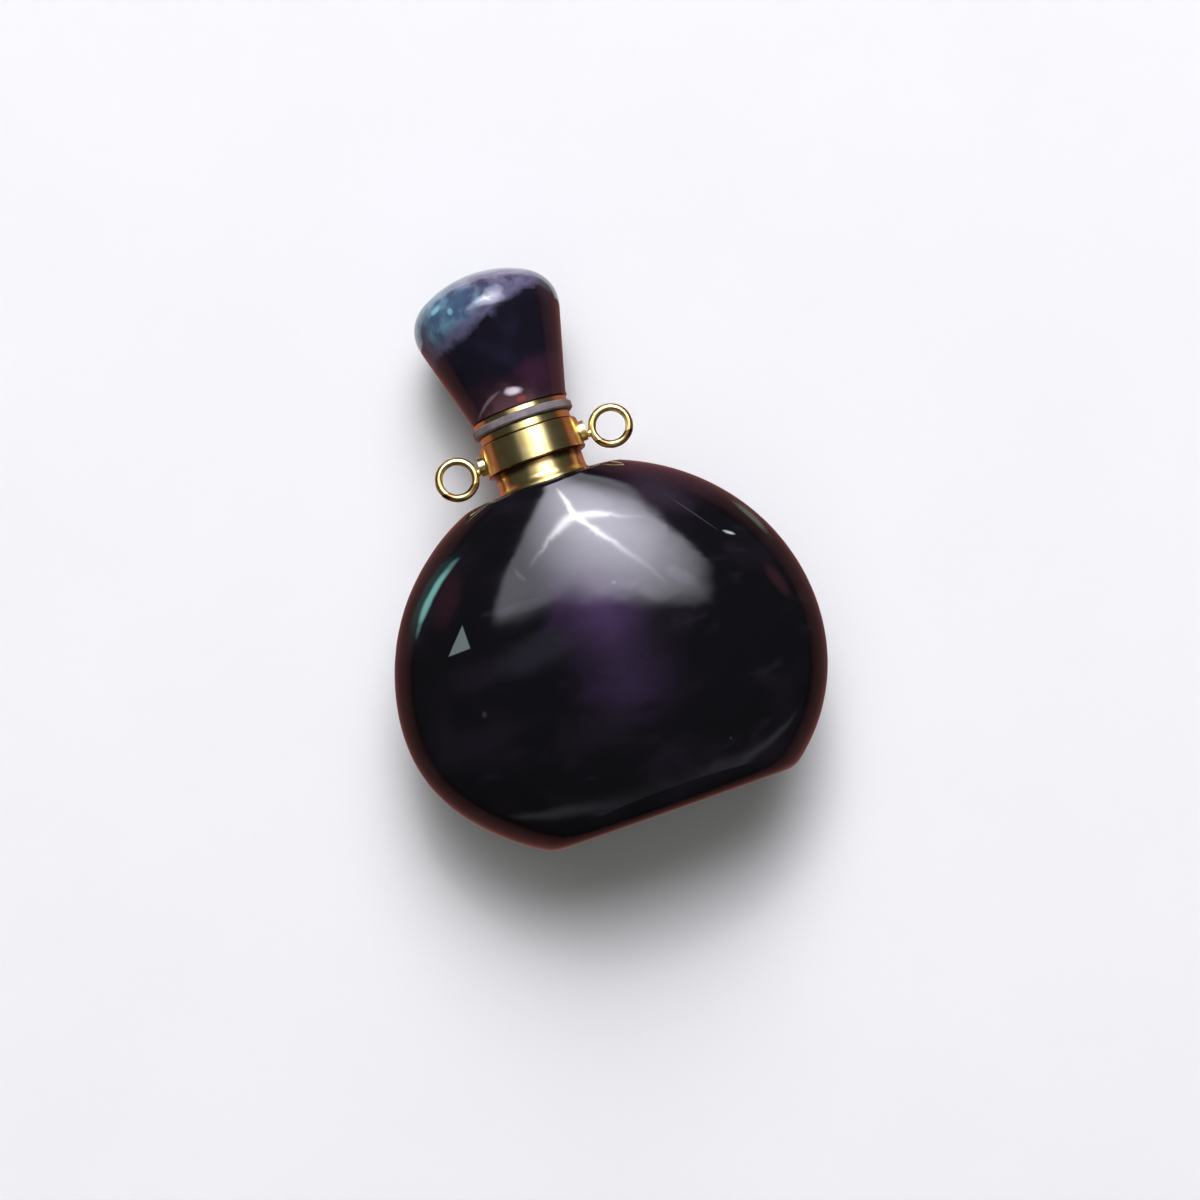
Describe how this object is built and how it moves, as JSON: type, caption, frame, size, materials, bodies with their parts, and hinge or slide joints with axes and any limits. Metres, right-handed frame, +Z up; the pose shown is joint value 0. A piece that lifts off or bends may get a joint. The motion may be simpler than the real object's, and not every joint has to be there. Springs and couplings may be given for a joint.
{
  "type": "bottle pendant",
  "caption": "Flat-round polished stone bottle pendant lying on its back, with a gold neck collar, side loops and a screw-in stone stopper.",
  "frame": {"origin": "on the floor, under the middle of the box of the whole pendant as it lies on its back", "axes": "+Z up, out of the pendant's front; +Y towards the stopper, whose end dips by 3.8 degrees; +X to the right seen from the front"},
  "size_m": [0.033, 0.0438, 0.0152],
  "materials": {
    "bottle_fluorite": "polished, near-black purple",
    "stopper_fluorite": "polished, dark blue with a teal and lavender top",
    "gold_plate": "polished",
    "silicone": "translucent, satin"
  },
  "bodies": {
    "bottle": {"bottle_stone": "bottle_fluorite", "neck_collar": "gold_plate", "loop_band": "gold_plate"},
    "washer": {"washer": "silicone"},
    "stopper": {"stopper_cap": "gold_plate", "stopper_stone": "stopper_fluorite"}
  },
  "joints": [
    {"name": "stopper_lift", "type": "slide", "parent": "bottle", "child": "washer", "axis": [0, 0.9978, -0.0656], "range_m": [0, 0.0045]},
    {"name": "stopper_turn", "type": "hinge", "parent": "washer", "child": "stopper", "pos_m": [0, 0.00971, 0.00628], "axis": [0, 0.9978, -0.0656], "range_deg": [0, 2160]}
  ],
  "couplings": [
    {"joint": "stopper_turn", "follows": "stopper_lift", "rad_per_m": 8377.6}
  ]
}
